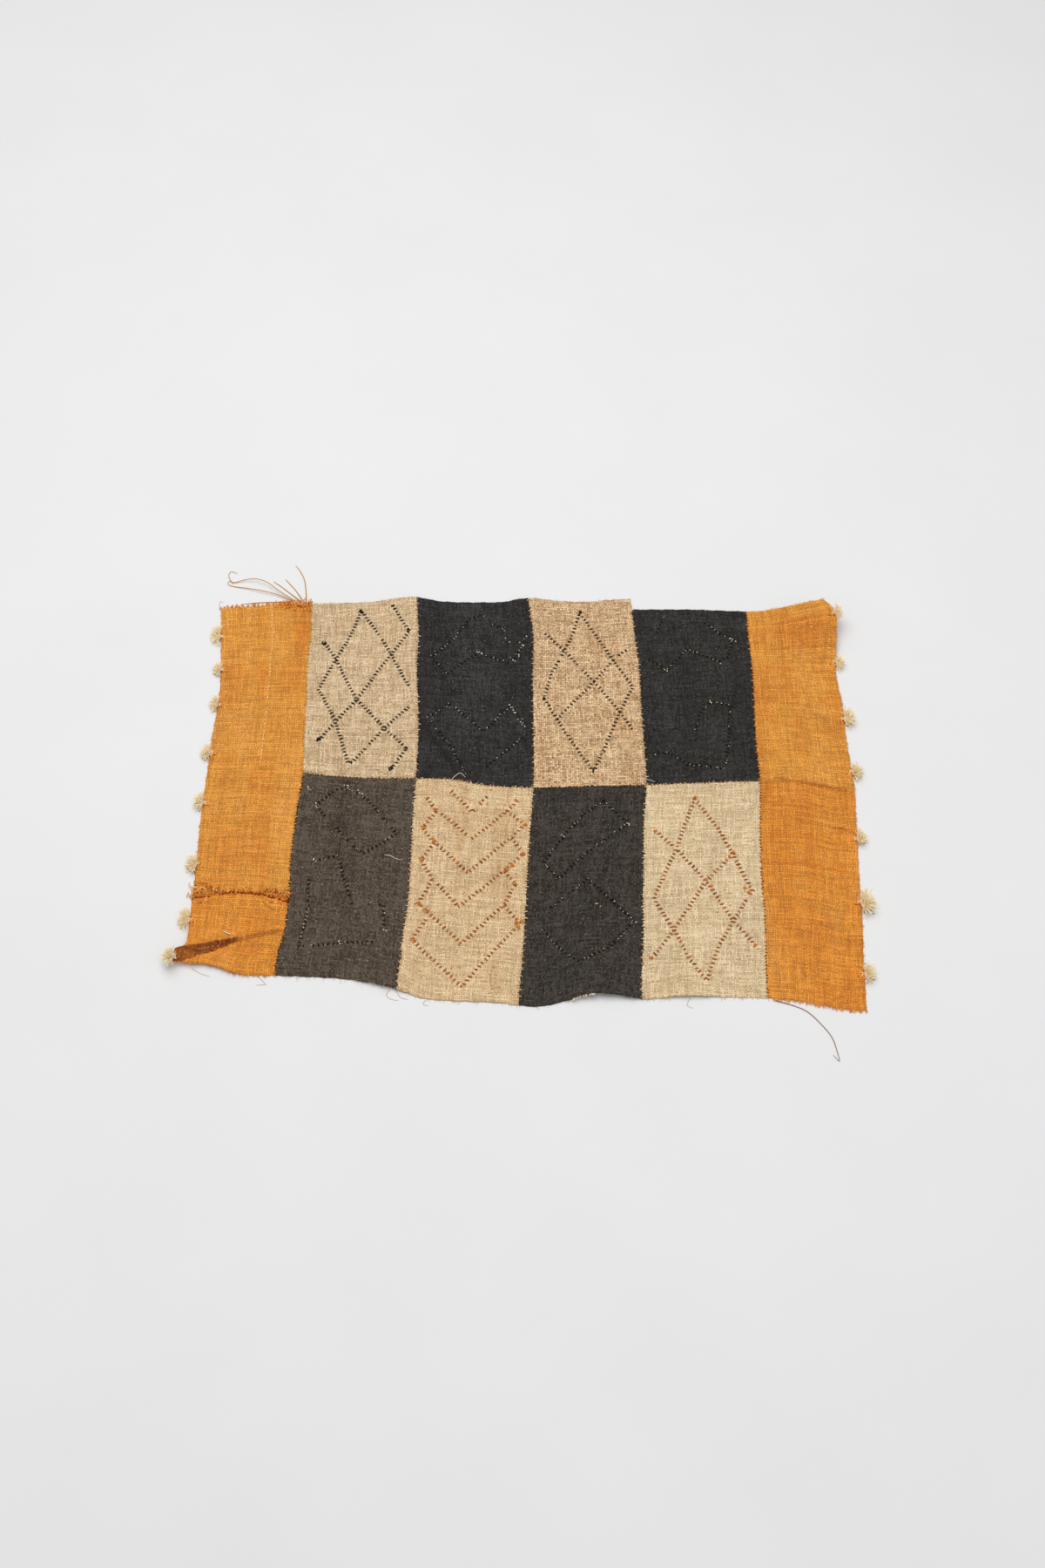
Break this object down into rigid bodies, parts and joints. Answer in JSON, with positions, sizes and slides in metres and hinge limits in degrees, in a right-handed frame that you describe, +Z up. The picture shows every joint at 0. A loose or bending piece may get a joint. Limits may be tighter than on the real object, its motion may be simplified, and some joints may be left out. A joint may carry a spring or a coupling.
{
  "type": "kuba raffia cloth",
  "caption": "Flat patchwork raffia cloth, light and dark stitched squares between two dyed borders, with small pompoms on both ends.",
  "frame": {"origin": "on the floor under the middle of the cloth with its pompoms and loose ends", "axes": "+X along the long side, +Y towards the edge with the loose ends at its left, +Z up from the floor"},
  "size_m": [0.6472, 0.5495, 0.0252],
  "materials": {
    "orange_raffia": "matt woven raffia, dyed orange",
    "deep_orange_raffia": "matt woven raffia, dyed deeper orange",
    "beige_raffia": "matt woven raffia, undyed beige",
    "black_raffia": "matt woven raffia, dyed black",
    "tan_raffia": "matt coarse woven raffia, tan",
    "grey_raffia": "matt woven raffia, faded black",
    "sand_raffia": "matt woven raffia, sand",
    "dark_raffia": "matt woven raffia, brown black",
    "pale_raffia": "matt woven raffia, pale straw",
    "ruff_raffia": "frayed raffia ends, dyed orange brown",
    "cream_raffia": "loose raffia locks, cream",
    "straw_raffia": "loose raffia ends, straw"
  },
  "bodies": {
    "root": {"border_left_back": "orange_raffia", "border_left_front": "deep_orange_raffia", "border_right_back": "orange_raffia", "border_right_front": "deep_orange_raffia", "field_back_1": "beige_raffia", "field_back_2": "black_raffia", "field_back_3": "tan_raffia", "field_back_4": "black_raffia", "field_front_1": "grey_raffia", "field_front_2": "sand_raffia", "field_front_3": "dark_raffia", "field_front_4": "pale_raffia", "pompom_left_1": "cream_raffia", "pompom_left_2": "cream_raffia", "pompom_left_3": "cream_raffia", "pompom_left_4": "cream_raffia", "pompom_left_5": "cream_raffia", "pompom_left_6": "cream_raffia", "pompom_left_7": "cream_raffia", "pompom_left_8": "cream_raffia", "pompom_right_1": "cream_raffia", "pompom_right_2": "cream_raffia", "pompom_right_3": "cream_raffia", "pompom_right_4": "cream_raffia", "pompom_right_5": "cream_raffia", "pompom_right_6": "cream_raffia", "pompom_right_7": "cream_raffia", "seam_ruff_left": "ruff_raffia", "loose_ends_back": "straw_raffia", "loose_end_front": "straw_raffia"}
  },
  "joints": []
}
